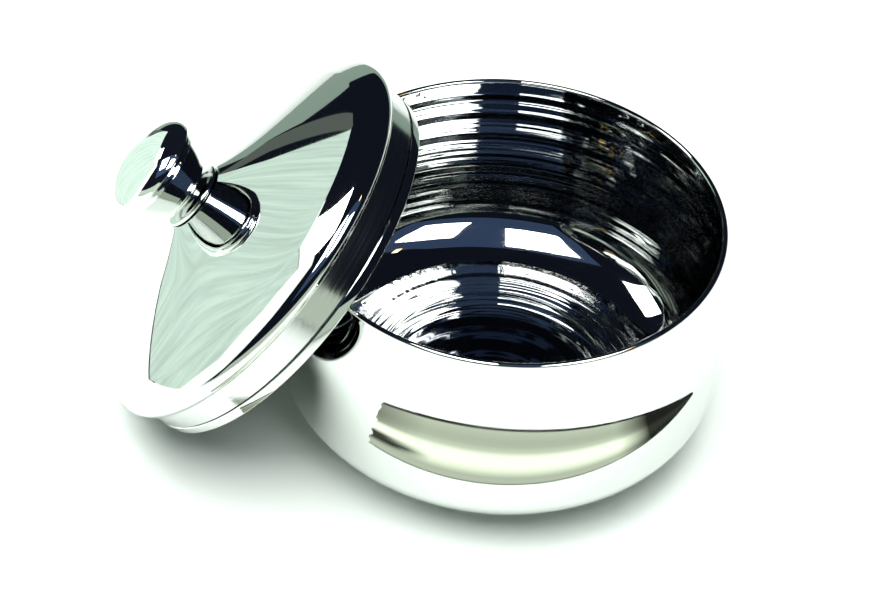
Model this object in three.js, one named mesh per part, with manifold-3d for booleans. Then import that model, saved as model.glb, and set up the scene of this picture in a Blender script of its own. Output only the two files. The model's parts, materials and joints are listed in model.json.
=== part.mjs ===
// Stainless-steel shaving bowl with a lift-off lid.
// Millimetres, +Z up. The origin is the centre of the bowl's flat base, on the table.
// The lid is off the bowl: its lower edge stands on the table on the -X side, and its
// open underside leans on the bowl's rim. Every lid piece is drawn upright on the
// lid's own axis, measured up from the lid's lower edge, and the whole lid is then tilted.

import * as THREE from 'three';
import { mergeVertices } from 'three/addons/utils/BufferGeometryUtils.js';
import Module from 'manifold-3d';

// ---- driving dimensions -------------------------------------------------------------

const GAP = 0.3; // air between pieces that touch on the real object

// Bowl: one spun sheet, flat under, wider at the belly than at the mouth.
const BOWL_HEIGHT = 57;
const RIM_RADIUS = 50;
const RIM_TUBE = 0.7; // half the thickness of the rounded lip
const BELLY_RADIUS = 53.6;
const BELLY_HEIGHT = 15;
const BOWL_SHEET = 0.8;
const BASE_PANEL_RADIUS = 28;
const BASE_STEP = 0.6; // the corner starts this far above the flat panel
const BASE_STEP_WIDTH = 1.1;
const CORNER_ROUNDNESS = 1.8; // 2 is an ellipse, 1 a straight chamfer

// Lid, heights from its lower edge.
const LID_SHEET = 0.6;
const LIP_RADIUS = 47.5;
const LIP_HEIGHT = 2.5;
const SKIRT_RADIUS = 47.4;
const SKIRT_BOTTOM = LIP_HEIGHT + 0.4;
const SKIRT_TOP = 8.9;
const BEAD_RADIUS = 49.3;
const BEAD_CENTRE = 11.1;
const BEAD_TUBE = 2.3; // radius of the rounded outer edge
const FLANK_FOOT_RADIUS = 43;
const FLANK_FOOT_HEIGHT = 16.1;
const FLANK_MIDDLE_RADIUS = 21; // nearly straight below here, sweeping up to the apex above
const FLANK_MIDDLE_HEIGHT = 22.45;
const APEX_RADIUS = 9;
const APEX_HEIGHT = 27;
const SLEEVE_TOP = 8.2; // top of the plug ring inside the skirt
const SCREW_HOLE_RADIUS = 2.4;

// Knob, heights from the lid's lower edge.
const FOOT_RADIUS = 8.4;
const FOOT_EDGE = 0.9;
const NECK_RADIUS = 4.9;
const NECK_TOP = 30.2;
const CUP_BASE_RADIUS = 7.4;
const CUP_TOP_RADIUS = 10.6;
const CUP_TOP = 37.6;
const CAP_RIM_RADIUS = 12.4;
const CAP_RIM_HEIGHT = 39.2;
const CAP_TOP = 45.3;
const KNOB_SHEET = 0.7;

// Fasteners inside the lid and the knob.
const SCREW_RADIUS = 2;
const SCREW_HEAD_RADIUS = 3.8;
const SCREW_HEAD_HEIGHT = 2.4;
const SCREW_TIP = 37;
const RECESS_WIDTH = 1.1;
const RECESS_LENGTH = 4.2;
const RECESS_DEPTH = 1.3;
const WASHER_RADIUS = 5;
const WASHER_THICKNESS = 0.8;
const LOCK_WASHER_RADIUS = 3.7;
const LOCK_WASHER_THICKNESS = 1;
const LOCK_WASHER_SLIT = 0.6;
const INSERT_RADIUS = 3.9;
const INSERT_FLANGE_RADIUS = 5.4;
const INSERT_TOP = 37.4;

// Where the lid leans.
const LID_TILT = THREE.MathUtils.degToRad(49.2);
const LID_OFFSET = -52.7; // centre of the lid's lower edge, along X
const LIP_ROUND = 0.4;

const LARGE_SEGMENTS = 48;
const KNOB_SEGMENTS = 32;
const SMALL_SEGMENTS = 24;

// ---- drawing helpers ----------------------------------------------------------------

const p = (radius, height) => new THREE.Vector2(radius, height);

// Points along a circular arc, both ends included. Angles are in degrees.
function arc(radius, height, tube, from, to, steps) {
  const points = [];
  for (let i = 0; i <= steps; i += 1) {
    const angle = THREE.MathUtils.degToRad(from + ((to - from) * i) / steps);
    points.push(p(radius + tube * Math.cos(angle), height + tube * Math.sin(angle)));
  }
  return points;
}

// Points along a quadratic curve, both ends included.
function bend(start, control, end, steps) {
  return new THREE.QuadraticBezierCurve(start, control, end).getPoints(steps);
}

// The same line moved sideways by a sheet's thickness, to the left of its direction.
function offset(line, distance) {
  return line.map((point, i) => {
    const before = line[Math.max(i - 1, 0)];
    const after = line[Math.min(i + 1, line.length - 1)];
    const along = after.clone().sub(before).normalize();
    return p(point.x - along.y * distance, point.y + along.x * distance);
  });
}

// Turns a closed (radius, height) outline round the Z axis.
function spin(outline, segments) {
  const area = outline.reduce((sum, point, i) => {
    const next = outline[(i + 1) % outline.length];
    return sum + point.x * next.y - next.x * point.y;
  }, 0);
  const ordered = area > 0 ? outline.slice() : outline.slice().reverse();
  const onAxis = ordered.some((point) => point.x === 0);
  if (onAxis) {
    // Start on the axis and end on it, so that the outline's axis side isn't drawn.
    while (!(ordered[0].x === 0 && ordered[ordered.length - 1].x === 0)) {
      ordered.push(ordered.shift());
    }
  } else {
    ordered.push(ordered[0].clone());
  }
  const geometry = new THREE.LatheGeometry(ordered, segments);
  geometry.rotateX(Math.PI / 2);
  return geometry;
}

function steel(color, roughness) {
  return new THREE.MeshStandardMaterial({ color, roughness, metalness: 1 });
}

function piece(name, geometry, material) {
  const mesh = new THREE.Mesh(geometry, material);
  mesh.name = name;
  return mesh;
}

// ---- solid cuts ---------------------------------------------------------------------

const solids = await Module();
solids.setup();

function toSolid(geometry) {
  const bare = new THREE.BufferGeometry();
  bare.setAttribute('position', geometry.getAttribute('position'));
  bare.setIndex(geometry.index);
  const merged = mergeVertices(bare, 1e-3);
  return new solids.Manifold(
    new solids.Mesh({
      numProp: 3,
      vertProperties: merged.attributes.position.array,
      triVerts: new Uint32Array(merged.index.array),
    }),
  );
}

function toGeometry(solid) {
  const mesh = solid.getMesh();
  const geometry = new THREE.BufferGeometry();
  geometry.setAttribute('position', new THREE.BufferAttribute(mesh.vertProperties, mesh.numProp));
  geometry.setIndex(new THREE.BufferAttribute(mesh.triVerts, 1));
  geometry.computeVertexNormals();
  return geometry;
}

function box(width, depth, height, x, y, z) {
  return solids.Manifold.cube([width, depth, height], true).translate([x, y, z]);
}

// ---- bowl ---------------------------------------------------------------------------

// The outside of the sheet, from the edge of the base panel up to the lip.
function bowlWall() {
  const cornerFoot = BASE_PANEL_RADIUS + BASE_STEP_WIDTH;
  const power = 2 / CORNER_ROUNDNESS;
  const line = [];
  const cornerSteps = 8;
  for (let i = 0; i <= cornerSteps; i += 1) {
    const angle = (Math.PI / 2) * (1 - i / cornerSteps);
    const out = Math.cos(angle) ** power;
    const down = Math.sin(angle) ** power;
    line.push(
      p(
        cornerFoot + (BELLY_RADIUS - cornerFoot) * out,
        BELLY_HEIGHT - (BELLY_HEIGHT - BASE_STEP) * down,
      ),
    );
  }
  const lipHeight = BOWL_HEIGHT - RIM_TUBE;
  const wallSteps = 8;
  for (let i = 1; i <= wallSteps; i += 1) {
    const rise = i / wallSteps;
    line.push(
      p(
        BELLY_RADIUS - (BELLY_RADIUS - RIM_RADIUS) * rise ** 2,
        BELLY_HEIGHT + (lipHeight - BELLY_HEIGHT) * rise,
      ),
    );
  }
  return line;
}

function bowlShell() {
  const outside = bowlWall();
  const inside = offset(outside, BOWL_SHEET).slice(0, -1).reverse();
  const lipHeight = BOWL_HEIGHT - RIM_TUBE;
  const lip = arc(RIM_RADIUS - RIM_TUBE, lipHeight, RIM_TUBE, 0, 200, 7).slice(1);
  return spin(
    [
      p(0, 0),
      p(BASE_PANEL_RADIUS, 0),
      ...outside,
      ...lip,
      ...inside,
      p(BASE_PANEL_RADIUS - BOWL_SHEET / 2, BOWL_SHEET),
      p(0, BOWL_SHEET),
    ],
    LARGE_SEGMENTS,
  );
}

// ---- lid ----------------------------------------------------------------------------

// The outside of the lid's sheet, from the skirt's lower edge up to the screw hole.
function lidSheetLine() {
  const beadRing = BEAD_RADIUS - BEAD_TUBE;
  const flankMiddle = p(FLANK_MIDDLE_RADIUS, FLANK_MIDDLE_HEIGHT);
  const lowerControl = p(FLANK_MIDDLE_RADIUS + 16.9, FLANK_MIDDLE_HEIGHT - 4.58);
  const upperControl = p(FLANK_MIDDLE_RADIUS - 7.8, FLANK_MIDDLE_HEIGHT + 2.12);
  const flankFoot = p(FLANK_FOOT_RADIUS, FLANK_FOOT_HEIGHT);
  const apexEdge = p(APEX_RADIUS, APEX_HEIGHT - 0.3);
  const beadTop = arc(beadRing, BEAD_CENTRE, BEAD_TUBE, -60, 52, 6);
  const beadEnd = beadTop[beadTop.length - 1];
  const shoulderControl = p(beadEnd.x - 1.5, beadEnd.y + 1.15);
  return [
    p(SKIRT_RADIUS, SKIRT_BOTTOM),
    p(SKIRT_RADIUS, SKIRT_TOP - 0.2),
    ...beadTop,
    ...bend(beadEnd, shoulderControl, flankFoot, 3).slice(1),
    ...bend(flankFoot, lowerControl, flankMiddle, 3).slice(1),
    ...bend(flankMiddle, upperControl, apexEdge, 3).slice(1),
    p(APEX_RADIUS - 1, APEX_HEIGHT),
    p(SCREW_HOLE_RADIUS, APEX_HEIGHT),
  ];
}

function lidShell() {
  const outside = lidSheetLine();
  const inside = offset(outside, LID_SHEET).reverse();
  return spin([...outside, ...inside], LARGE_SEGMENTS);
}

// Sleeve fitted inside the skirt. Its rolled lower edge shows as the lip under the skirt.
function lidPlugRing() {
  const sleeveOut = SKIRT_RADIUS - LID_SHEET - GAP;
  const sleeveIn = sleeveOut - LID_SHEET;
  return spin(
    [
      p(sleeveIn, LIP_ROUND),
      p(sleeveIn + LIP_ROUND, 0),
      ...arc(LIP_RADIUS - LIP_ROUND, LIP_ROUND, LIP_ROUND, -90, 0, 3),
      ...arc(LIP_RADIUS - LIP_ROUND, LIP_HEIGHT - LIP_ROUND, LIP_ROUND, 0, 90, 3),
      p(sleeveOut, LIP_HEIGHT),
      p(sleeveOut, SLEEVE_TOP),
      p(sleeveIn, SLEEVE_TOP),
    ],
    LARGE_SEGMENTS,
  );
}

// ---- knob ---------------------------------------------------------------------------

// Round foot that flares from the neck out onto the lid's apex.
function knobBaseDisc() {
  const bottom = APEX_HEIGHT + GAP;
  const flareStart = p(FOOT_RADIUS - 0.4, bottom + FOOT_EDGE);
  const flareEnd = p(NECK_RADIUS, NECK_TOP - GAP);
  return spin(
    [
      p(SCREW_HOLE_RADIUS, bottom),
      p(FOOT_RADIUS - 0.2, bottom),
      p(FOOT_RADIUS, bottom + 0.2),
      p(FOOT_RADIUS, bottom + FOOT_EDGE - 0.3),
      ...bend(flareStart, p(NECK_RADIUS + 0.3, bottom + FOOT_EDGE + 0.2), flareEnd, 4),
      p(SCREW_HOLE_RADIUS, NECK_TOP - GAP),
    ],
    KNOB_SEGMENTS,
  );
}

// Turned cup that widens upwards from the neck to the cap.
function knobBody() {
  const outside = [
    p(NECK_RADIUS, NECK_TOP),
    ...arc(CUP_BASE_RADIUS - 0.5, NECK_TOP + 0.7, 0.5, -80, 0, 2),
    ...bend(
      p(CUP_BASE_RADIUS + 0.5, NECK_TOP + 1.6),
      p(CUP_TOP_RADIUS - 1.2, NECK_TOP + 3.6),
      p(CUP_TOP_RADIUS, CUP_TOP),
      4,
    ),
  ];
  const wellRadius = INSERT_FLANGE_RADIUS + GAP;
  return spin(
    [
      p(SCREW_HOLE_RADIUS, NECK_TOP),
      ...outside,
      p(CUP_TOP_RADIUS - KNOB_SHEET * 1.5, CUP_TOP),
      p(wellRadius + 0.9, NECK_TOP + 4),
      p(wellRadius, NECK_TOP + 2.6),
      p(SCREW_HOLE_RADIUS, NECK_TOP + 2.6),
    ],
    KNOB_SEGMENTS,
  );
}

// Threaded bush that stands on the cup's floor and takes the screw.
function knobInsert() {
  const bore = SCREW_RADIUS + GAP;
  const flangeBottom = NECK_TOP + 2.6 + GAP;
  const flangeTop = flangeBottom + 1;
  return spin(
    [
      p(bore, flangeBottom),
      p(INSERT_FLANGE_RADIUS, flangeBottom),
      p(INSERT_FLANGE_RADIUS, flangeTop),
      p(INSERT_RADIUS, flangeTop),
      p(INSERT_RADIUS, INSERT_TOP),
      p(bore, INSERT_TOP),
    ],
    SMALL_SEGMENTS,
  );
}

// Domed cap. Its edge is folded under and grips the top of the cup.
function knobCap() {
  const rise = CAP_TOP - CAP_RIM_HEIGHT;
  const dome = [];
  const domeSteps = 8;
  for (let i = 1; i <= domeSteps; i += 1) {
    const angle = (Math.PI / 2) * (i / domeSteps);
    const radius = i === domeSteps ? 0 : CAP_RIM_RADIUS * Math.cos(angle);
    dome.push(p(radius, CAP_RIM_HEIGHT + rise * Math.sin(angle)));
  }
  const inner = dome.map((point) => {
    const shrink = 1 - KNOB_SHEET / CAP_RIM_RADIUS;
    return p(point.x * shrink, CAP_RIM_HEIGHT + (point.y - CAP_RIM_HEIGHT) * shrink - 0.1);
  });
  const gripRadius = CUP_TOP_RADIUS + GAP;
  return spin(
    [
      p(gripRadius, CUP_TOP - 0.4),
      p(gripRadius + KNOB_SHEET, CUP_TOP - 0.3),
      p(CAP_RIM_RADIUS - 0.25, CAP_RIM_HEIGHT - 0.35),
      p(CAP_RIM_RADIUS, CAP_RIM_HEIGHT),
      ...dome,
      ...inner.reverse(),
      p(gripRadius + 0.4, CAP_RIM_HEIGHT - 0.5),
      p(gripRadius, CAP_RIM_HEIGHT - 1),
    ],
    KNOB_SEGMENTS,
  );
}

// ---- fasteners ----------------------------------------------------------------------

const washerTop = APEX_HEIGHT - LID_SHEET - GAP;
const lockWasherTop = washerTop - WASHER_THICKNESS - GAP;
const headTop = lockWasherTop - LOCK_WASHER_THICKNESS - GAP;

function flatWasher() {
  const bottom = washerTop - WASHER_THICKNESS;
  return spin(
    [
      p(SCREW_HOLE_RADIUS, bottom),
      p(WASHER_RADIUS, bottom),
      p(WASHER_RADIUS, washerTop),
      p(SCREW_HOLE_RADIUS, washerTop),
    ],
    SMALL_SEGMENTS,
  );
}

function lockWasher() {
  const bottom = lockWasherTop - LOCK_WASHER_THICKNESS;
  const ring = toSolid(
    spin(
      [
        p(SCREW_HOLE_RADIUS, bottom),
        p(LOCK_WASHER_RADIUS, bottom),
        p(LOCK_WASHER_RADIUS, lockWasherTop),
        p(SCREW_HOLE_RADIUS, lockWasherTop),
      ],
      SMALL_SEGMENTS,
    ),
  );
  const middle = (bottom + lockWasherTop) / 2;
  const slit = box(LOCK_WASHER_RADIUS * 2, LOCK_WASHER_SLIT, 4, LOCK_WASHER_RADIUS, 0, middle);
  return toGeometry(ring.subtract(slit));
}

function knobScrew() {
  const bottom = headTop - SCREW_HEAD_HEIGHT;
  const blank = toSolid(
    spin(
      [
        p(0, bottom),
        p(SCREW_HEAD_RADIUS - 1, bottom),
        p(SCREW_HEAD_RADIUS - 0.3, bottom + 0.5),
        p(SCREW_HEAD_RADIUS, bottom + 1.2),
        p(SCREW_HEAD_RADIUS, headTop),
        p(SCREW_RADIUS, headTop),
        p(SCREW_RADIUS, SCREW_TIP - 0.5),
        p(SCREW_RADIUS - 0.5, SCREW_TIP),
        p(0, SCREW_TIP),
      ],
      SMALL_SEGMENTS,
    ),
  );
  const depth = RECESS_DEPTH * 2;
  const across = box(RECESS_LENGTH, RECESS_WIDTH, depth, 0, 0, bottom);
  const along = box(RECESS_WIDTH, RECESS_LENGTH, depth, 0, 0, bottom);
  return toGeometry(blank.subtract(across).subtract(along));
}

// ---- assembly -----------------------------------------------------------------------

const lid = new THREE.Group();
lid.name = 'lid';
lid.add(
  piece('lid_shell', lidShell(), steel(0xd8dad6, 0.1)),
  piece('lid_plug_ring', lidPlugRing(), steel(0xd0d2ce, 0.15)),
  piece('knob_base_disc', knobBaseDisc(), steel(0xcfd1cd, 0.12)),
  piece('knob_body', knobBody(), steel(0xc9cbc7, 0.12)),
  piece('knob_cap', knobCap(), steel(0xdcdeda, 0.1)),
  piece('knob_insert', knobInsert(), steel(0xb8a878, 0.35)),
  piece('knob_screw', knobScrew(), steel(0xa9abad, 0.35)),
  piece('flat_washer', flatWasher(), steel(0xb4b6b8, 0.3)),
  piece('lock_washer', lockWasher(), steel(0x9a9c9e, 0.4)),
);
const lipRing = LIP_RADIUS - LIP_ROUND;
lid.position.set(
  LID_OFFSET,
  0,
  lipRing * Math.sin(LID_TILT) - LIP_ROUND * Math.cos(LID_TILT) + LIP_ROUND,
);
lid.rotation.y = -LID_TILT;

const shavingBowl = new THREE.Group();
shavingBowl.name = 'shaving_bowl';
shavingBowl.add(piece('bowl_shell', bowlShell(), steel(0xd6d8d4, 0.1)), lid);

export default shavingBowl;
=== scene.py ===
import json
import math

import bmesh
import bpy
from mathutils import Matrix, Vector


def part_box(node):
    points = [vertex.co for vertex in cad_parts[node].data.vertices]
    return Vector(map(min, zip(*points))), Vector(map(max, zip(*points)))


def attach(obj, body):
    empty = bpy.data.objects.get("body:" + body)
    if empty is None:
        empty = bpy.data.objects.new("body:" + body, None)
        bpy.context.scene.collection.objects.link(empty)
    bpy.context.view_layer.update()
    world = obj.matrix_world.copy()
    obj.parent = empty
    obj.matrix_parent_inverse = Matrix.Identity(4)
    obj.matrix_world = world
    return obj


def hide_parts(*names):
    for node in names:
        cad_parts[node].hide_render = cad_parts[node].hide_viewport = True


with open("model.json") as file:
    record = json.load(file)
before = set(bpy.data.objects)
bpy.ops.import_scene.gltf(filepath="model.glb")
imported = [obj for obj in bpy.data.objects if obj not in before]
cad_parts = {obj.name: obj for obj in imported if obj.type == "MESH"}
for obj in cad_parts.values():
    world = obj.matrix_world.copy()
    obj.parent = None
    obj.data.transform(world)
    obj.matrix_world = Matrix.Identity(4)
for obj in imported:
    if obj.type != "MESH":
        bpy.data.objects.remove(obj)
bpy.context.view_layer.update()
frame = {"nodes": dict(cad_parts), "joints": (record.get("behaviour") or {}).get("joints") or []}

MM = 0.001
AROUND = 256  # faces round a large turned piece
AROUND_KNOB = 160


# ---- where things are -----------------------------------------------------------------

def joint_axis(name):
    for joint in frame["joints"]:
        if joint["name"] == name:
            return Vector(joint["axis"]).normalized()
    raise ValueError(name)


LID_AXIS = joint_axis("lid_lift")


def foot_of(node):
    """The point on the lid's axis at the lower edge of one of its turned pieces."""
    corners = [v.co for v in frame["nodes"][node].data.vertices]
    centre = sum(corners, Vector()) / len(corners)
    low = min(c.dot(LID_AXIS) for c in corners)
    return centre + LID_AXIS * (low - centre.dot(LID_AXIS))


LID_ORIGIN = foot_of("lid_plug_ring")
LID_PLACE = Matrix.Translation(LID_ORIGIN) @ LID_AXIS.to_track_quat("Z", "Y").to_matrix().to_4x4()

bowl_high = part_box("bowl_shell")[1]
BELLY = bowl_high.x / MM
HEIGHT = bowl_high.z / MM


# ---- profiles, in millimetres: (radius, height) ----------------------------------------

def arc(radius, height, tube, start, end, steps):
    """Part of a circle of radius tube, from start to end degrees."""
    out = []
    for i in range(steps + 1):
        a = math.radians(start + (end - start) * i / steps)
        out.append((radius + tube * math.cos(a), height + tube * math.sin(a)))
    return out


def bend(start, control, end, steps):
    """A quadratic curve from start to end, pulled towards control."""
    out = []
    for i in range(steps + 1):
        t = i / steps
        out.append(tuple(
            (1 - t) ** 2 * a + 2 * (1 - t) * t * b + t ** 2 * c
            for a, b, c in zip(start, control, end)))
    return out


def offset(line, distance):
    """The line moved sideways, to its left as it runs."""
    out = []
    for i, (r, z) in enumerate(line):
        before, after = line[max(i - 1, 0)], line[min(i + 1, len(line) - 1)]
        dr, dz = after[0] - before[0], after[1] - before[1]
        length = math.hypot(dr, dz)
        out.append((r - dz / length * distance, z + dr / length * distance))
    return out


def straight(a, b, steps):
    return [(a[0] + (b[0] - a[0]) * i / steps, a[1] + (b[1] - a[1]) * i / steps)
            for i in range(steps + 1)]


# ---- mesh builders --------------------------------------------------------------------

def turned(name, outline, place=None, around=AROUND, sharp=30):
    """A smooth solid of revolution about Z from a closed outline, or one with both ends on the axis."""
    bm = bmesh.new()
    closed = not (outline[0][0] == 0 and outline[-1][0] == 0)
    rows = []
    for r, z in outline:
        if r == 0:
            rows.append([bm.verts.new((0, 0, z * MM))])
        else:
            rows.append([
                bm.verts.new((r * MM * math.cos(2 * math.pi * k / around),
                              r * MM * math.sin(2 * math.pi * k / around), z * MM))
                for k in range(around)])
    pairs = list(zip(rows, rows[1:]))
    if closed:
        pairs.append((rows[-1], rows[0]))
    for low, high in pairs:
        for k in range(around):
            n = (k + 1) % around
            if len(low) == 1:
                bm.faces.new((low[0], high[n], high[k]))
            elif len(high) == 1:
                bm.faces.new((low[k], low[n], high[0]))
            else:
                bm.faces.new((low[k], low[n], high[n], high[k]))
    bmesh.ops.recalc_face_normals(bm, faces=bm.faces)
    if bm.calc_volume(signed=True) < 0:
        bmesh.ops.reverse_faces(bm, faces=bm.faces)
    for face in bm.faces:
        face.smooth = True
    for edge in bm.edges:
        if len(edge.link_faces) == 2 and edge.calc_face_angle() > math.radians(sharp):
            edge.smooth = False
    if place is not None:
        bm.transform(place)
    mesh = bpy.data.meshes.new(name)
    bm.to_mesh(mesh)
    bm.free()
    piece = bpy.data.objects.new(name, mesh)
    bpy.context.scene.collection.objects.link(piece)
    return piece


# ---- materials ------------------------------------------------------------------------

class Nodes:
    """A new material, with a short way to write its node tree."""

    def __init__(self, name):
        self.material = bpy.data.materials.new(name)
        self.material.use_nodes = True
        self.tree = self.material.node_tree
        self.tree.nodes.clear()

    def add(self, kind, **settings):
        node = self.tree.nodes.new(kind)
        inputs = settings.pop("inputs", {})
        for key, value in settings.items():
            setattr(node, key, value)
        for key, value in inputs.items():
            if isinstance(value, bpy.types.NodeSocket):
                self.tree.links.new(value, node.inputs[key])
            else:
                node.inputs[key].default_value = value
        return node

    def math(self, operation, a, b=0.0, c=0.0):
        return self.add("ShaderNodeMath", operation=operation, inputs={0: a, 1: b, 2: c}).outputs[0]

    def ramp(self, value, low, high, out_low, out_high):
        return self.add("ShaderNodeMapRange", inputs={
            "Value": value, "From Min": low, "From Max": high,
            "To Min": out_low, "To Max": out_high}).outputs["Result"]

    def noise(self, vector, scale, detail, roughness=0.5):
        return self.add("ShaderNodeTexNoise", inputs={
            "Vector": vector, "Scale": scale, "Detail": detail,
            "Roughness": roughness}).outputs[0]

    def mix(self, share, first, second, blend="MIX"):
        return self.add("ShaderNodeMix", data_type="RGBA", blend_type=blend, inputs={
            0: share, 6: first, 7: second}).outputs[2]

    def finish(self, shader):
        self.add("ShaderNodeOutputMaterial", inputs={"Surface": shader.outputs[0]})
        return self.material


BUMP_DISTANCE = 0.00006  # metres
LINE_DRIFT = 1.2         # how fast a turning line changes along its way round
HAIR_TILT = (0.6, 0.3, 0.9)
HAIR_SCALE = (30.0, 900.0, 200.0)
GRAIN_DEPTH = 0.01
SPOKES = 26.0            # chatter marks per radian
SPOKE_SCALE = 160.0
SPOKE_DEPTH = 2.5
BAND_EDGE = 0.0015       # metres over which the chatter fades in and out
# a painted dark reflection: the width of the soft edge, the share and the colour of a near-black disc
# in the middle of the bowl's floor
PAINTED_DARK_EDGE = 0.002
PAINTED_DARK_SHARE = 0.8
PAINTED_DARK_REFLECTION = (0.11, 0.12, 0.15)
STAIN = (0.86, 0.87, 0.84)
STAIN_SHARE = 0.12


def steel(name, color, rough=(0.03, 0.07), lines=0.0, line_scale=900.0, scratches=0.02,
          smudge=0.03, place=None, chatter=None, painted_dark_radius=None):
    """Polished or satin stainless steel, turned about the Z axis of place.

    lines is the depth of the turning lines, chatter the inner and outer radius of a ring of
    radial tool marks, and the last argument the radius of a disc in the middle whose colour is a
    painted dark reflection, in metres.
    """
    n = Nodes(name)
    where = n.add("ShaderNodeTexCoord").outputs["Object"]
    if place is not None:
        where = n.add("ShaderNodeMapping", vector_type="TEXTURE", inputs={
            "Vector": where, "Location": place.to_translation(),
            "Rotation": place.to_euler()}).outputs[0]
    xyz = n.add("ShaderNodeSeparateXYZ", inputs={0: where})
    across = n.math("SQRT", n.math("ADD", n.math("POWER", xyz.outputs[0], 2.0),
                                   n.math("POWER", xyz.outputs[1], 2.0)))
    turn = n.math("ARCTAN2", xyz.outputs[1], xyz.outputs[0])
    ring = n.add("ShaderNodeCombineXYZ", inputs={
        0: n.math("MULTIPLY", across, line_scale),
        1: n.math("MULTIPLY", xyz.outputs[2], line_scale),
        2: n.math("MULTIPLY", turn, LINE_DRIFT)})
    turning = n.noise(ring.outputs[0], 1.0, 3.0, 0.6)
    clouds = n.noise(where, 38.0, 4.0, 0.55)
    grain = n.noise(where, 420.0, 2.0)
    hair_place = n.add("ShaderNodeMapping", inputs={
        "Vector": where, "Rotation": HAIR_TILT, "Scale": HAIR_SCALE}).outputs[0]
    hairlines = n.ramp(n.noise(hair_place, 1.0, 2.0), 0.66, 0.72, 0.0, 1.0)

    roughness = n.math("ADD", n.ramp(clouds, 0.35, 0.7, rough[0], rough[1]),
                       n.math("MULTIPLY", hairlines, smudge))
    roughness = n.math("ADD", roughness, n.ramp(turning, 0.4, 0.75, 0.0, lines * 0.25))

    height = n.math("ADD", n.math("MULTIPLY", turning, lines),
                    n.math("MULTIPLY", hairlines, -scratches))
    height = n.math("ADD", height, n.math("MULTIPLY", grain, GRAIN_DEPTH))
    if chatter:
        inner, outer = chatter
        spokes = n.add("ShaderNodeCombineXYZ", inputs={
            0: n.math("MULTIPLY", turn, SPOKES), 1: n.math("MULTIPLY", across, SPOKE_SCALE)})
        marks = n.noise(spokes.outputs[0], 1.0, 3.0)
        band = n.math("MULTIPLY", n.ramp(across, inner, inner + BAND_EDGE, 0.0, 1.0),
                      n.ramp(across, outer, outer + BAND_EDGE, 1.0, 0.0))
        marks = n.math("MULTIPLY", n.math("MULTIPLY", marks, band), SPOKE_DEPTH)
        height = n.math("ADD", height, marks)
    bump = n.add("ShaderNodeBump", inputs={
        "Height": height, "Strength": 0.35, "Distance": BUMP_DISTANCE})

    stained = [c * s for c, s in zip(color, STAIN)]
    tint = n.mix(n.ramp(clouds, 0.3, 0.75, 0.0, STAIN_SHARE), (*color, 1), (*stained, 1))
    # paint a dark reflection into the disc in the middle
    if painted_dark_radius:
        tint = n.mix(n.ramp(across, painted_dark_radius, painted_dark_radius + PAINTED_DARK_EDGE, PAINTED_DARK_SHARE, 0.0),
                     tint, (*PAINTED_DARK_REFLECTION, 1))
    return n.finish(n.add("ShaderNodeBsdfPrincipled", inputs={
        "Base Color": tint, "Metallic": 1.0, "Roughness": roughness,
        "Normal": bump.outputs[0]}))


def wear(piece, material):
    piece.data.materials.clear()
    piece.data.materials.append(material)


def wear_where(piece, material, chosen):
    """Give a second material to the faces that chosen picks."""
    piece.data.materials.append(material)
    for polygon in piece.data.polygons:
        if chosen(polygon):
            polygon.material_index = 1


STEEL = (0.68, 0.70, 0.68)
mirror = steel("polished_steel", STEEL, rough=(0.012, 0.04), lines=0.05)
# the inside of the bowl: real spinning marks and chatter, in a darker copy of the outside steel that is
# painted shade, with a painted dark reflection in the middle of the floor
spun_painted_dark = steel("spun_steel_painted_dark", (0.59, 0.61, 0.60), rough=(0.012, 0.045), lines=0.10,
             line_scale=900.0, scratches=0.04, smudge=0.02, chatter=(0.0355, 0.0390), painted_dark_radius=0.0225)
lid_mirror = steel("polished_lid_steel", STEEL, rough=(0.012, 0.04), lines=0.05,
                   place=LID_PLACE)
# the knob's dome: polished steel whose colour is paler than the rest of the steel, a painted highlight
knob_painted_bright = steel("knob_steel_painted_highlight", (0.90, 0.93, 0.90), rough=(0.02, 0.06), lines=0.05,
                    place=LID_PLACE)
satin = steel("satin_steel", STEEL, rough=(0.07, 0.12), lines=0.35,
              line_scale=1800.0, place=LID_PLACE)
plain = steel("plain_steel", (0.62, 0.63, 0.64), rough=(0.22, 0.38), lines=0.8,
              line_scale=2200.0, place=LID_PLACE)
brass = steel("machined_brass", (0.78, 0.60, 0.32), rough=(0.2, 0.35), lines=0.8,
              line_scale=2200.0, place=LID_PLACE)


# ---- bowl -----------------------------------------------------------------------------

SHEET = 0.8
LIP_TUBE = 0.7
RIM = BELLY - 3.6
LIP_HEIGHT = HEIGHT - LIP_TUBE
BELLY_HEIGHT = 15.0
PANEL = 28.0               # radius of the flat base
CORNER_FOOT = PANEL + 1.1
STEP = 0.6                 # the corner starts this far above the base
CORNER_POWER = 2 / 1.8     # of the superellipse between base and belly
INSIDE_FLOOR = 20.0 * MM   # faces below this that look up belong to the inside


def wall_line(steps_low, steps_high):
    """The outside of the bowl, from the base's step to the lip."""
    line = []
    for i in range(steps_low + 1):
        a = math.pi / 2 * (1 - i / steps_low)
        line.append((CORNER_FOOT + (BELLY - CORNER_FOOT) * math.cos(a) ** CORNER_POWER,
                     BELLY_HEIGHT - (BELLY_HEIGHT - STEP) * math.sin(a) ** CORNER_POWER))
    for i in range(1, steps_high + 1):
        u = i / steps_high
        line.append((BELLY - (BELLY - RIM) * u ** 2,
                     BELLY_HEIGHT + (LIP_HEIGHT - BELLY_HEIGHT) * u))
    return line


def between(value, start, end):
    """0 up to start, 1 from end on, straight in between."""
    return min(1.0, max(0.0, (value - start) / (end - start)))


def ripple(run, depth, rate, phase=0.0):
    """A wave along the profile, in millimetres; rate is in radians per millimetre."""
    return depth * math.sin(run * rate + phase)


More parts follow.
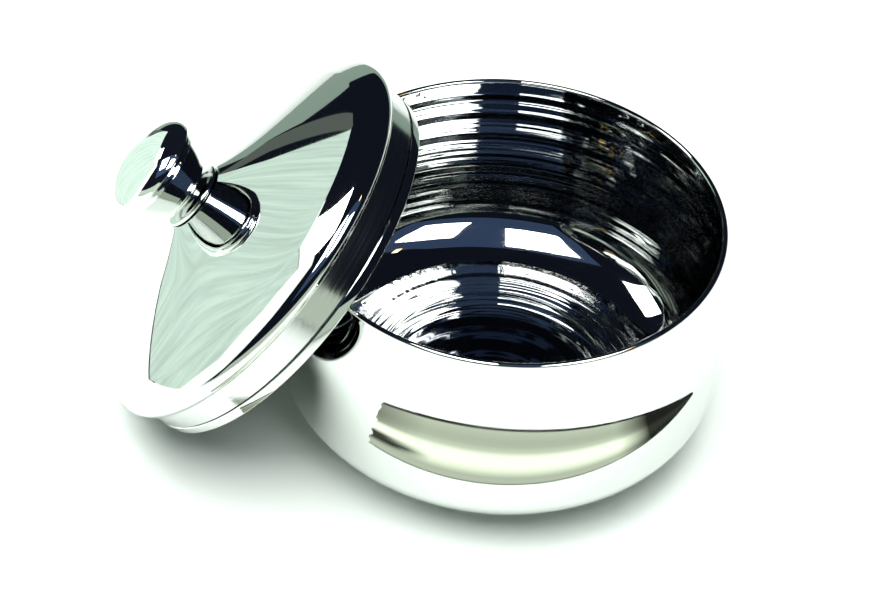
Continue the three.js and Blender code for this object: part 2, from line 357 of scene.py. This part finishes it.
def spinning_marks(line):
    """The roller's marks inside the bowl: faint on the floor, gone in the corner, deep on the wall."""
    out = []
    run = 0.0
    for i, (r, z) in enumerate(line):
        if i:
            run += math.hypot(r - line[i - 1][0], z - line[i - 1][1])
        before, after = line[max(i - 1, 0)], line[min(i + 1, len(line) - 1)]
        dr, dz = after[0] - before[0], after[1] - before[1]
        length = math.hypot(dr, dz)
        centre = between(run, 2, 6)
        floor_ring = between(run, 23, 27) * (1 - between(run, 35, 39))
        wall = between(z, 13, 20) * (1 - between(z, HEIGHT - 6, HEIGHT - 3))
        swell = 0.6 + ripple(run, 0.4, 0.21, 0.8)
        wall_marks = (swell * ripple(run, 0.062, 1.85) + ripple(run, 0.012, 4.1, 1.3)
                      + ripple(run, 0.085, 0.83, 0.4))
        wave = (centre * ripple(run, 0.003, 2.1) + floor_ring * ripple(run, 0.05, 1.4, 0.6)
                + wall * wall_marks)
        out.append((r - dz / length * wave, z + dr / length * wave))
    return out


def inside_bowl(polygon):
    """Whether a face looks at the bowl's axis, or up from its floor."""
    c, normal = polygon.center, polygon.normal
    faces_axis = normal.x * c.x + normal.y * c.y < 0
    return faces_axis or (normal.z > 0.5 and c.z < INSIDE_FLOOR)


outside = wall_line(70, 60)
inside = spinning_marks(
    straight((1, SHEET), (PANEL - 1, SHEET), 80) + offset(wall_line(140, 190), SHEET)[1:-2])
lip = arc(RIM - LIP_TUBE, LIP_HEIGHT, LIP_TUBE, 0, 200, 20)[1:]
bowl_outline = (
    [(0, 0)] + straight((2, 0), (PANEL, 0), 4)
    + outside + lip + inside[::-1] + [(0, SHEET)])
bowl = turned("bowl_polished", bowl_outline, sharp=40)
wear(bowl, mirror)
wear_where(bowl, spun_painted_dark, inside_bowl)
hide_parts("bowl_shell")
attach(bowl, "bowl")


# ---- lid ------------------------------------------------------------------------------

# heights are along the lid's axis, from its lower edge
LID_SHEET = 0.6
AIR = 0.3                  # between touching pieces
HOLE = 2.4                 # radius of the screw's hole
SKIRT = 47.4
SKIRT_FOOT = 2.9
SKIRT_TOP = 8.7
FLANK_FOOT = (43.0, 16.1)
FLANK_MIDDLE = (21.0, 22.45)
FLANK_TOP = (9.0, 26.8)
APEX = 27.0

bead_arc = arc(47.0, 11.1, 2.3, -60, 52, 36)
bead_end = bead_arc[-1]
lid_line = (
    straight((SKIRT, SKIRT_FOOT), (SKIRT, SKIRT_TOP), 8) + bead_arc
    + bend(bead_end, (bead_end[0] - 1.5, bead_end[1] + 1.15), FLANK_FOOT, 16)[1:]
    + bend(FLANK_FOOT, (37.9, 17.87), FLANK_MIDDLE, 36)[1:]
    + bend(FLANK_MIDDLE, (13.2, 24.57), FLANK_TOP, 28)[1:]
    + bend(FLANK_TOP, (8.7, APEX), (8.2, APEX), 5)[1:]
    + [(HOLE, APEX)])
lid_outline = lid_line + offset(lid_line, LID_SHEET)[::-1]
lid = turned("lid_polished", lid_outline, LID_PLACE, sharp=40)
wear(lid, lid_mirror)
wear_where(lid, satin, lambda polygon: (polygon.center - LID_ORIGIN).dot(LID_AXIS) < SKIRT_TOP * MM)
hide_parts("lid_shell")
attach(lid, "lid")

RING = 47.1                # centre of the rounded edges of the visible band
RING_EDGE = 0.4
SEAM = 0.4                 # the dark line between the ring and the skirt
RING_TOP = SKIRT_FOOT - SEAM
SLEEVE_TOP = 8.2
sleeve_out = SKIRT - LID_SHEET - AIR
sleeve_in = sleeve_out - LID_SHEET
ring_outline = (
    arc(sleeve_in + 0.35, 0.35, 0.35, 180, 270, 6) + arc(RING, RING_EDGE, RING_EDGE, -90, 0, 8)
    + arc(RING, RING_TOP - RING_EDGE, RING_EDGE, 0, 90, 8)
    + [(sleeve_out, RING_TOP), (sleeve_out, SLEEVE_TOP), (sleeve_in, SLEEVE_TOP)])
ring = turned("lid_ring", ring_outline, LID_PLACE, sharp=40)
wear(ring, lid_mirror)
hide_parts("lid_plug_ring")
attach(ring, "lid")


# ---- knob -----------------------------------------------------------------------------

NECK = 4.9
FOOT_TOP = 29.9
foot_outline = (
    [(HOLE, APEX + AIR)] + arc(8.2, 27.5, 0.2, -90, 0, 4) + arc(8.0, 27.8, 0.4, 0, 80, 8)
    + bend((7.8, 28.25), (5.1, 28.4), (NECK, FOOT_TOP), 16)[1:] + [(HOLE, FOOT_TOP)])
foot = turned("knob_foot", foot_outline, LID_PLACE, AROUND_KNOB)
wear(foot, lid_mirror)
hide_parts("knob_base_disc")

CUP_FOOT = FOOT_TOP + AIR
CUP_FLOOR = 32.8
CUP_TOP = 37.6
cup_outline = (
    [(HOLE, CUP_FOOT), (NECK, CUP_FOOT)] + arc(6.9, 30.75, 0.5, -80, 10, 8)
    + bend((7.6, 31.3), (9.1, 33.6), (10.6, CUP_TOP), 24)[1:]
    + [(9.55, CUP_TOP), (6.6, 34.2), (5.7, CUP_FLOOR), (HOLE, CUP_FLOOR)])
cup = turned("knob_cup", cup_outline, LID_PLACE, AROUND_KNOB)
wear(cup, lid_mirror)
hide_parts("knob_body")

DOME = 12.4
DOME_FOOT = 39.2
DOME_RISE = 6.1
CAP_SHEET = 0.7
CAP_DROP = 0.1             # the inside of the dome is lowered, so that its top isn't too thin
dome = [(DOME * math.cos(math.pi / 2 * i / 40), DOME_FOOT + DOME_RISE * math.sin(math.pi / 2 * i / 40))
        for i in range(1, 40)]
shrink = 1 - CAP_SHEET / DOME
inner_dome = [(r * shrink, DOME_FOOT + (z - DOME_FOOT) * shrink - CAP_DROP) for r, z in dome]
cap_outline = (
    [(0, DOME_FOOT + DOME_RISE * shrink - CAP_DROP)] + inner_dome[::-1]
    + [(11.3, 38.7), (10.9, 38.2), (10.9, 37.2)] + arc(11.25, 37.35, 0.25, -90, -10, 5)
    + bend((11.55, 37.6), (11.6, 38.4), (12.15, 38.8), 8)[1:] + arc(12.15, 39.1, 0.25, -60, 15, 6)
    + dome[1:] + [(0, DOME_FOOT + DOME_RISE)])
cap = turned("knob_dome", cap_outline, LID_PLACE, AROUND_KNOB)
wear(cap, knob_painted_bright)
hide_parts("knob_cap")

for piece in (foot, cup, cap):
    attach(piece, "lid")


# ---- fasteners: the CAD pieces, with eased edges ----------------------------------------

EASE = 0.12
for node, material in (("knob_screw", plain), ("flat_washer", plain),
                       ("lock_washer", plain), ("knob_insert", brass)):
    wear(frame["nodes"][node], material)
    ease = frame["nodes"][node].modifiers.new("eased_edges", "BEVEL")
    ease.width = EASE * MM
    ease.segments = 2
    ease.limit_method = "ANGLE"


# ---- studio ---------------------------------------------------------------------------

def paper(name, color):
    """Matt paper that takes the light."""
    n = Nodes(name)
    where = n.add("ShaderNodeTexCoord").outputs["Object"]
    grain = n.noise(where, 300.0, 2.0)
    return n.finish(n.add("ShaderNodeBsdfPrincipled", inputs={
        "Base Color": (*color, 1), "Roughness": n.ramp(grain, 0.3, 0.7, 0.85, 0.95),
        "Specular IOR Level": 0.1}))


def glow(name, color, strength, grain=0.0, grain_scale=(1, 1, 1)):
    """Light from a card seen only in reflections: even, or with a crumpled grain."""
    n = Nodes(name)
    level = strength
    if grain:
        where = n.add("ShaderNodeTexCoord").outputs["Object"]
        stretched = n.add("ShaderNodeMapping", inputs={
            "Vector": where, "Scale": grain_scale}).outputs[0]
        crumple = n.add("ShaderNodeTexNoise", inputs={
            "Vector": stretched, "Scale": 1.0, "Detail": 5.0, "Roughness": 0.6,
            "Distortion": 0.15}).outputs[0]
        level = n.ramp(crumple, 0.32, 0.68, strength * (1 - grain), strength * (1 + grain))
    return n.finish(n.add("ShaderNodeEmission", inputs={"Color": (*color, 1), "Strength": level}))


def stand(name, mesh, material, lights=False):
    """Put a card in the studio. Only the metal sees it, unless it lights the floor too."""
    sheet = bpy.data.objects.new(name, mesh)
    bpy.context.scene.collection.objects.link(sheet)
    sheet.data.materials.append(material)
    sheet.visible_camera = False
    sheet.visible_shadow = False
    sheet.visible_diffuse = lights
    return sheet


def card(name, points, material, lights=False):
    """A flat card through the given points, in millimetres."""
    mesh = bpy.data.meshes.new(name)
    mesh.from_pydata([Vector(q) * MM for q in points], [], [tuple(range(len(points)))])
    return stand(name, mesh, material, lights)


def overhead(name, x, y, z, material, lights=False):
    """A level rectangle at height z, between two x and two y."""
    return card(name, [(x[0], y[0], z), (x[0], y[1], z), (x[1], y[1], z), (x[1], y[0], z)],
                material, lights)


def upright(name, x, y, z, material):
    """An upright rectangle facing the bowl, between two x and two heights."""
    return card(name, [(x[0], y, z[0]), (x[1], y, z[0]), (x[1], y, z[1]), (x[0], y, z[1])], material)


def beside(name, points, material, x=-165):
    """A card standing to the left of the bowl; the points are (y, z)."""
    return card(name, [(x, y, z) for y, z in points], material)


FLOOR = 3000               # from its middle to each side
LAMPS = 900                # height of the soft boxes
KEY_HEIGHT = 600

floor = card("floor", [(-FLOOR, -FLOOR, 0), (FLOOR, -FLOOR, 0), (FLOOR, FLOOR, 0), (-FLOOR, FLOOR, 0)],
             paper("floor_paper", (0.82, 0.89, 0.84)), lights=True)
floor.visible_camera = True
floor.visible_shadow = True

key = overhead("key_light", (-560, 330), (-420, 330), KEY_HEIGHT,
               glow("key_light", (1.0, 1.0, 1.0), 5.6), lights=True)
key.visible_glossy = False

soft = glow("softbox", (1.0, 1.0, 1.0), 12.5)
overhead("softbox_front", (-360, 0), (-500, -110), LAMPS, soft)
overhead("softbox_right", (280, 760), (-700, -230), LAMPS, soft)
overhead("softbox_left", (-1000, -600), (80, 420), LAMPS, soft)
overhead("lamp_right", (560, 620), (-90, -30), LAMPS, glow("warm_lamp", (1.0, 0.68, 0.25), 9.0))
overhead("glow_round_softboxes", (-500, 1200), (-1000, -60), LAMPS + 10,
         glow("blue_glow", (0.30, 0.5, 1.0), 0.16))

beside("paper_left", [(-13, 1), (112, 1), (115, 70), (150, 119), (170, 150), (60, 160),
                      (-20, 155), (-40, 107), (-48, 60), (-38, 21)],
       glow("left_paper", (0.80, 1.0, 0.88), 1.06, grain=0.16, grain_scale=(300, 330, 22)))
upright("paper_back", (-395, -342), 455, (1, 300), glow("back_paper", (0.86, 1.0, 0.90), 0.15))
beside("paper_rim", [(-38, 21), (-48, 60), (-40, 107), (-20, 155), (60, 160), (60, 172),
                     (-38, 192), (-66, 125), (-76, 60), (-58, 15)],
       glow("paper_rim", (0.93, 1.0, 0.95), 1.6), x=-164)
# a near-black strip on the floor at the foot of the left paper, seen only in the metal: a painted dark
# line
card("paper_edge", [(-165, -13, 0.8), (-165, 60, 0.8), (-161, 60, 0.8), (-161, -13, 0.8)],
     glow("paper_edge", (1, 1, 1), 0.01))
far = glow("far_floor", (0.76, 1.0, 0.85), 0.42)
card("far_floor", [(-336, 460, 1), (1500, 460, 1), (3000, 2990, 1), (-1950, 2990, 1)], far)
upright("far_wall", (-1950, 3000), 2990, (0, 200), far)
upright("wall_front", (-1500, 1200), -900, (0, 280), glow("front_wall", (0.86, 1.0, 0.84), 0.72))


# the low curved strip on the floor in front of the bowl, a glowing card seen only in the metal with its
# light and shade painted in a colour layer; in millimetres and degrees
STRIP_INNER = 75
STRIP_OUTER = 107.5
STRIP_WIDEST = 265
STRIP_START = 228
STRIP_END = 350
STRIP_STEPS = 90
STRIP_HEIGHT = 0.6
STRIP_SHADES = [(0, 0.15), (0.03, 0.55), (0.10, 0.52), (0.18, 0.9), (0.28, 1.25), (0.42, 1.25),
                (0.52, 0.68), (0.62, 0.52), (0.72, 0.50), (0.85, 0.56), (0.93, 0.62),
                (0.95, 0.04), (1.0, 0.04)]
STRIP_ACROSS = (0, 0.03, 0.06, 0.1, 0.14, 0.18, 0.22, 0.28, 0.35, 0.42, 0.47, 0.52,
                0.57, 0.62, 0.72, 0.85, 0.93, 0.95, 1.0)


def strip_shade(across, angle):
    """Brightness of the strip: across runs 0 to 1 from its inner to its outer edge."""
    for (a, low), (b, high) in zip(STRIP_SHADES, STRIP_SHADES[1:]):
        if across <= b:
            shade = low + (high - low) * (across - a) / (b - a)
            break
    # a painted dark patch at the torn end, where the outer half is dimmer too
    painted_dark_patch = max(0.0, 1 - abs(across - 0.22) / 0.12) * max(0.0, (250 - angle) / 14)
    shade *= 1 - 0.95 * min(1.0, 1.6 * painted_dark_patch)
    if across > 0.5:
        shade *= 1 - 0.5 * max(0.0, (246 - angle) / 18)
    # the other end fades to black
    return shade * (1 - 0.97 * between(angle, 314, 327))


def strip_width(angle):
    """The strip narrows from its widest place towards both ends."""
    taper = 20 if angle < STRIP_WIDEST else 15.5
    return STRIP_OUTER - taper * ((angle - STRIP_WIDEST) / 60) ** 2 - STRIP_INNER


def strip_mesh():
    """The strip as a mesh, with its brightness in a colour layer; its left end is torn."""
    bm = bmesh.new()
    layer = bm.loops.layers.float_color.new("shade")
    rows = []
    for i in range(STRIP_STEPS + 1):
        angle = STRIP_START + (STRIP_END - STRIP_START) * i / STRIP_STEPS
        row = []
        for across in STRIP_ACROSS:
            r = STRIP_INNER + strip_width(angle) * across
            torn = 0.7 * math.sin(across * 40) if i == 0 else 0.0
            a = math.radians(angle + torn)
            point = Vector((r * math.cos(a), r * math.sin(a), STRIP_HEIGHT)) * MM
            row.append((bm.verts.new(point), strip_shade(across, angle)))
        rows.append(row)
    for low, high in zip(rows, rows[1:]):
        for j in range(len(low) - 1):
            corners = (low[j], low[j + 1], high[j + 1], high[j])
            face = bm.faces.new([c[0] for c in corners])
            for loop, (_, shade) in zip(face.loops, corners):
                loop[layer] = (shade, shade, shade, 1)
    mesh = bpy.data.meshes.new("floor_strip")
    bm.to_mesh(mesh)
    bm.free()
    return mesh


def strip_glow():
    n = Nodes("strip")
    shade = n.add("ShaderNodeVertexColor", layer_name="shade").outputs[0]
    tint = n.mix(1.0, shade, (0.90, 1.0, 0.78, 1), blend="MULTIPLY")
    return n.finish(n.add("ShaderNodeEmission", inputs={"Color": tint, "Strength": 1.45}))


stand("floor_strip", strip_mesh(), strip_glow())

world = bpy.data.worlds.new("room")
bpy.context.scene.world = world
world.use_nodes = True
room = world.node_tree.nodes["Background"]
room.inputs["Color"].default_value = (0.35, 0.45, 0.8, 1)
room.inputs["Strength"].default_value = 0.02


# ---- camera ---------------------------------------------------------------------------

ELEVATION, AZIMUTH, ROLL = math.radians(43.83), math.radians(0.70), math.radians(3.94)
TARGET = Vector((-15.9, 13.1, 13.9)) * MM
DISTANCE = 452.3 * MM
forward = Vector((-math.sin(AZIMUTH) * math.cos(ELEVATION),
                  math.cos(AZIMUTH) * math.cos(ELEVATION), -math.sin(ELEVATION)))
camera_data = bpy.data.cameras.new("photo_view")
camera_data.sensor_width = 36.0
camera_data.lens = 74.3
camera_data.clip_start = 0.01
camera = bpy.data.objects.new("photo_view", camera_data)
bpy.context.scene.collection.objects.link(camera)
turn = forward.to_track_quat("-Z", "Y") @ Matrix.Rotation(ROLL, 3, "Z").to_quaternion()
camera.matrix_world = Matrix.Translation(TARGET - forward * DISTANCE) @ turn.to_matrix().to_4x4()
bpy.context.scene.camera = camera

bpy.context.scene.view_settings.view_transform = "Standard"

bpy.context.view_layer.update()
